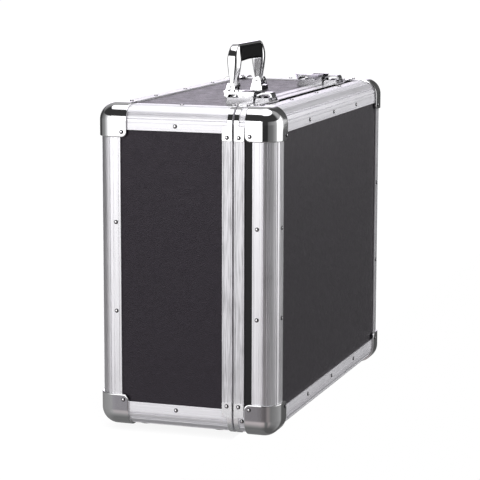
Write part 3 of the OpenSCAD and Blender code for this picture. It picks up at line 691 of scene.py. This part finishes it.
def grip_mesh():
    """Moulded grip under the bow: straight sides, eased ends, arched underside."""
    v, f = [], []
    xs = [-36.3, -36.2, -35.8, -35.0] + [-33 + 3 * k for k in range(23)] + [35.0, 35.8, 36.2, 36.3]
    lo = [(0, 34.9), (12, 34.7), (24, 34.2), (36.3, 33.6)]
    corner = [(90 - 11.25 * k) for k in range(9)]
    n = 0
    for x in xs:
        e = {36.3: 0.8, 36.2: 0.42, 35.8: 0.12}.get(abs(x), 0.0)
        z0, z1, hw = along(lo, abs(x)) + e, BOW_H - 3.1 - e, 6.6 - e
        pts = []
        rb, rt = 3.4, 2.4
        for a in corner:
            t = math.radians(a)
            pts.append((hw - rt + rt * math.cos(t), z1 - rt + rt * math.sin(t)))
        mid = (z0 + z1) / 2
        pts += [(hw, mid + 3), (hw + 0.0, mid), (hw, mid - 3)]
        for a in reversed([-90 + 11.25 * k for k in range(9)]):
            t = math.radians(a)
            pts.append((hw - rb + rb * math.cos(t), z0 + rb + rb * math.sin(t)))
        pts = pts + [(-y, z) for y, z in reversed(pts)]
        n = len(pts)
        v += [(x, HAND_Y + y, ZT + z) for y, z in pts]
    for k in range(len(xs) - 1):
        for j in range(n):
            f.append((k * n + j, k * n + (j + 1) % n, (k + 1) * n + (j + 1) % n, (k + 1) * n + j))
    f.append(tuple(range(n)))
    f.append(tuple((len(xs) - 1) * n + j for j in reversed(range(n))))
    return v, f


b = Build()
b.add(*grip_mesh())
finish_mesh("handle_grip_moulded", b.v, b.f, GRIP, "handle", ("handle_grip",), angle=40)


# ---------------------------------------------------------------- CAD nodes kept
def dress(name, mat, bevel=0.0, seg=2, angle=38):
    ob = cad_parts[name]
    if not ob.material_slots:
        ob.data.materials.append(mat)
    for s in ob.material_slots:
        s.material = mat
    if bevel:
        add_bevel(ob, bevel, seg, angle)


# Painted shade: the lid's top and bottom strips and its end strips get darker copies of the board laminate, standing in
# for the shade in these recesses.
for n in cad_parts:
    if "panel" in n:
        dress(n, BOARD_SHADE if n in ("lid_panel_top", "lid_panel_bottom") else BOARD_SIDE_SHADED if n in ("lid_panel_left", "lid_panel_right") else BOARD)
dress("lid_lining", LINING)
dress("base_lining", LINING)
dress("feet", RUBBER, 0.6)
for n in ("foot_screws", "hinge_pins", "latch_pivot_pins", "latch_link_pin_left", "latch_link_pin_right", "handle_pins"):
    dress(n, STEEL, 0.15)
for n in ("base_hinge_leaves", "lid_hinge_leaves", "latch_bases", "latch_catches"):
    dress(n, CHROME_SOFT if "hinge" in n else LATCH_SATIN, 0.25)
for n in ("latch_lever_left", "latch_lever_right", "latch_claw_left", "latch_claw_right"):
    dress(n, LATCH, 0.25)
dress("handle_mounts", CHROME, 0.4)


def paint_shade_inside(name):
    """Painted shade: faces of a latch part turned towards its middle or downwards get a dark copy of the plating."""
    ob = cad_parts[name]
    ob.data.materials.append(LATCH_INSIDE_SHADE)
    for f in ob.data.polygons:
        c, q = f.center, f.normal
        x = (ob.matrix_world @ c).x / MM
        x0 = LATCH_X if x > 0 else -LATCH_X
        if (x - x0) * q.x < -0.6 * abs(x - x0) or q.z < -0.6:
            f.material_index = len(ob.data.materials) - 1


for n in ("latch_bases", "latch_catches", "latch_lever_left", "latch_lever_right", "latch_claw_left", "latch_claw_right"):
    paint_shade_inside(n)
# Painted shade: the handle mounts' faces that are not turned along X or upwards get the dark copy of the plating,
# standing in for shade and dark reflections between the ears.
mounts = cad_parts["handle_mounts"].data
mounts.materials.append(LATCH_INSIDE_SHADE)
for f in mounts.polygons:
    if abs(f.normal.x) < 0.8 and f.normal.z < 0.8:
        f.material_index = len(mounts.materials) - 1


# ---------------------------------------------------------------- stage
def stage_mesh(name, verts, faces, mat):
    me = bpy.data.meshes.new(name)
    me.from_pydata(verts, [], faces)
    ob = bpy.data.objects.new(name, me)
    bpy.context.scene.collection.objects.link(ob)
    me.materials.append(mat)
    return ob


# the case stands at the edge of a pale bench, so that its lid can swing down
floor_mat, nt, bs = new_mat("bench")
bs.inputs["Base Color"].default_value = (0.10, 0.10, 0.10, 1)
bs.inputs["Emission Color"].default_value = (1, 1, 1, 1)
bs.inputs["Emission Strength"].default_value = 0.90
bs.inputs["Roughness"].default_value = 0.9
bs.inputs["Specular IOR Level"].default_value = 0.0
bench = stage_mesh("bench_top", [(-9, -0.047, -0.0002), (12, -0.047, -0.0002), (12, 12, -0.0002), (-9, 12, -0.0002)], [(0, 1, 2, 3)], floor_mat)
bench.visible_glossy = False
bench.visible_diffuse = False

world = bpy.data.worlds.new("studio")
bpy.context.scene.world = world
world.use_nodes = True
nt = world.node_tree
bg = nt.nodes["Background"]
tc = nt.nodes.new("ShaderNodeTexCoord")
sep = nt.nodes.new("ShaderNodeSeparateXYZ")
nt.links.new(tc.outputs["Generated"], sep.inputs["Vector"])


def wmath(op, a, b=None):
    n = nt.nodes.new("ShaderNodeMath")
    n.operation = op
    for i, v in enumerate((a, b)):
        if v is None:
            continue
        if isinstance(v, (int, float)):
            n.inputs[i].default_value = v
        else:
            nt.links.new(v, n.inputs[i])
    return n.outputs[0]


# azimuth runs from -X (0) towards -Y (+90), as a share of the full turn; elevation in degrees
az = wmath("ADD", wmath("DIVIDE", wmath("ARCTAN2", wmath("MULTIPLY", sep.outputs["Y"], -1.0), wmath("MULTIPLY", sep.outputs["X"], -1.0)), 2 * math.pi), 0.5)
el = wmath("MULTIPLY", wmath("ARCSINE", sep.outputs["Z"]), 180 / math.pi)


def ring(stops):
    return ramp(nt, az, [((a + 180) / 360, c) for a, c in stops]).outputs["Color"]


def over(low, high, e0, e1):
    m = nt.nodes.new("ShaderNodeMix")
    m.data_type = "RGBA"
    nt.links.new(map_range(nt, el, e0, e1, 0, 1), m.inputs[0])
    for sock, v in ((m.inputs[6], low), (m.inputs[7], high)):
        if isinstance(v, tuple):
            sock.default_value = (*v, 1)
        else:
            nt.links.new(v, sock)
    return m.outputs[2]


deep = ring([(-180, 0.15), (-70, 0.17), (0, 0.13), (30, 0.10), (180, 0.10)])
glow = ring([(-180, 0.18), (-60, 0.30), (-34, 0.38), (-18, (0.50, 0.45, 0.46)), (8, (0.46, 0.41, 0.41)), (22, 0.16), (32, 0.14), (46, (0.34, 0.31, 0.31)), (64, 0.20), (100, 0.22), (140, 0.30), (158, 0.10), (180, 0.09)])
low = ring([(-180, 0.20), (-60, 0.32), (-36, 0.34), (-24, (0.30, 0.29, 0.31)), (-17, (0.20, 0.188, 0.197)), (4, (0.15, 0.138, 0.143)), (20, (0.12, 0.11, 0.115)), (38, (0.27, 0.245, 0.245)), (58, 0.18), (100, 0.25), (140, 0.36), (156, 0.12), (168, 0.08), (180, 0.1)])
under = ring([(-180, 0.03), (-112, 0.03), (-104, 0.15), (-72, 0.30), (-52, 0.8), (-38, 1.7), (-9, 1.8), (-3, 0.03), (29, 0.03), (32, 0.11), (60, 0.17), (78, 0.33), (88, 0.42), (99, 1.4), (147, 1.5), (152, 0.34), (162, 0.10), (170, 0.05), (180, 0.05)])
above = ring([(-180, 0.07), (-172, 0.12), (-165, (1.9, 1.77, 2.03)), (-150, (1.9, 1.77, 2.03)), (-142, 0.35), (-132, 0.06), (-112, 0.05), (-72, 0.28), (-52, 0.8), (-38, 1.9), (-9, 1.9), (-4, 0.04), (29, 0.04), (32, 0.14), (72, 0.32), (88, 0.42), (99, 1.4), (147, 1.5), (152, 0.34), (162, 0.10), (180, 0.07)])
dark = ring([(-180, 0.07), (-165, 0.5), (-120, 0.3), (-95, 0.04), (100, 0.04), (120, 0.4), (150, 0.4), (160, 0.07), (180, 0.07)])
v = over(deep, glow, -62, -32)
v = over(v, low, -23, -16)
v = over(v, under, -13, -9)
v = over(v, above, -1, 1)
v = over(v, dark, 19, 22)
v = over(v, (1.9, 1.88, 1.93), 60, 64)
lp = nt.nodes.new("ShaderNodeLightPath")
soft_fill = nt.nodes.new("ShaderNodeMix")
soft_fill.data_type = "RGBA"
nt.links.new(lp.outputs["Is Diffuse Ray"], soft_fill.inputs[0])
nt.links.new(v, soft_fill.inputs[6])
fill = over((0.34, 0.335, 0.35), (1.28, 1.265, 1.30), -35, 35)
nt.links.new(fill, soft_fill.inputs[7])
back = nt.nodes.new("ShaderNodeMix")
back.data_type = "RGBA"
nt.links.new(lp.outputs["Is Camera Ray"], back.inputs[0])
nt.links.new(soft_fill.outputs[2], back.inputs[6])
back.inputs[7].default_value = (1, 1, 1, 1)
nt.links.new(back.outputs[2], bg.inputs["Color"])
bg.inputs["Strength"].default_value = 1.0


def area(name, loc, target, size, power, color=(1, 1, 1), glossy=True):
    l = bpy.data.lights.new(name, "AREA")
    l.shape = "RECTANGLE"
    l.size, l.size_y = size
    l.energy = power
    l.color = color
    ob = bpy.data.objects.new(name, l)
    ob.location = loc
    ob.rotation_euler = (Vector(target) - Vector(loc)).to_track_quat("-Z", "Y").to_euler()
    ob.visible_glossy = glossy
    bpy.context.scene.collection.objects.link(ob)
    return ob


area("key", (-1.2, -0.6, 2.4), (0, 0, 0.15), (1.8, 1.8), 30, glossy=False)
# two close, weak soft boxes: they let the boards fade from top to bottom
area("near_soft_long", (0.50, -0.49, 0.40), (-0.2, -0.095, 0.30), (0.34, 0.34), 0.20).visible_camera = False
area("near_soft_end", (-0.80, 0.22, 0.46), (-0.2, 0.02, 0.33), (0.30, 0.26), 0.30).visible_camera = False

# ---------------------------------------------------------------- camera
cam = bpy.data.cameras.new("camera")
cam.lens = 147.0
cam.sensor_width = 36.0
cam.sensor_fit = "HORIZONTAL"
cam.clip_end = 100
co = bpy.data.objects.new("camera", cam)
r = Vector((0.32169524, -0.94684124, 0.00196041))
u = Vector((0.15097517, 0.05333852, 0.98709751))
d = Vector((0.9347292, 0.3172486, -0.16010826))
m = Matrix((
    (r.x, u.x, -d.x, -2.02391),
    (r.y, u.y, -d.y, -0.675585),
    (r.z, u.z, -d.z, 0.518402),
    (0, 0, 0, 1)))
co.matrix_world = m
bpy.context.scene.collection.objects.link(co)
bpy.context.scene.camera = co
bpy.context.scene.view_settings.view_transform = "Standard"
bpy.context.scene.view_settings.look = "None"
